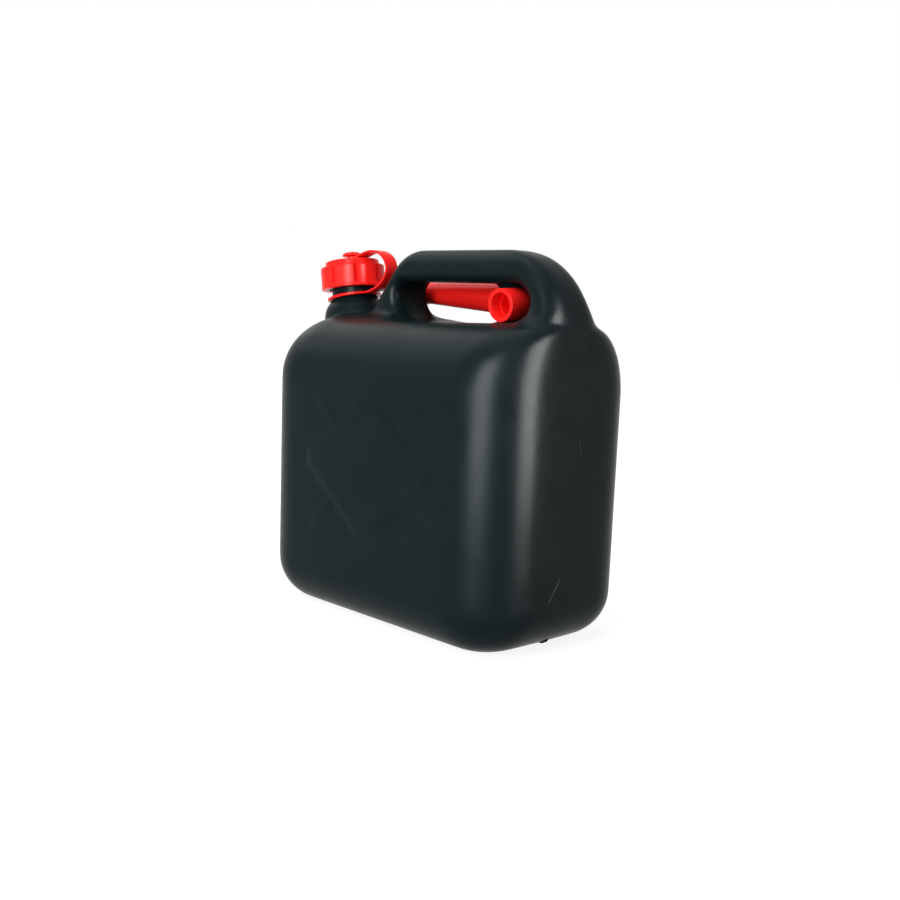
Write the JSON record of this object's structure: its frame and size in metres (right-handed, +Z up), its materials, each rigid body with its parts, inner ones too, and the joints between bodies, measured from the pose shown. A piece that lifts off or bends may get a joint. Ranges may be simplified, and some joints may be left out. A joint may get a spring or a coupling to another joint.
{
  "type": "fuel can",
  "caption": "Blow-moulded fuel can with a moulded carrying handle, a lobed screw cap on a retaining strap, and a bent pouring spout stored in the handle.",
  "frame": {"origin": "on the floor, under the middle of the object's box", "axes": "+X along the can towards the end without the neck, +Y across it towards the back, +Z up"},
  "size_m": [0.2428, 0.1376, 0.2476],
  "materials": {
    "body": "satin black polyethylene",
    "cap": "glossy red polyethylene",
    "seal": "matt black rubber",
    "strap": "soft red polyethylene",
    "spout": "soft red polyethylene"
  },
  "bodies": {
    "can": {"can_body": "body", "spout": "spout"},
    "strap": {"cap_strap": "strap"},
    "cap": {"screw_cap": "cap", "cap_seal": "seal"}
  },
  "joints": [
    {"name": "strap_rise", "type": "slide", "parent": "can", "child": "strap", "axis": [-0.1564, 0, 0.9877], "range_m": [0, 0.0075]},
    {"name": "cap_turn", "type": "hinge", "parent": "strap", "child": "cap", "pos_m": [-0.09294, 0, 0.1993], "axis": [-0.1564, 0, 0.9877], "range_deg": [0, 540]}
  ],
  "couplings": [
    {"joint": "cap_turn", "follows": "strap_rise", "rad_per_m": 1256.6}
  ]
}
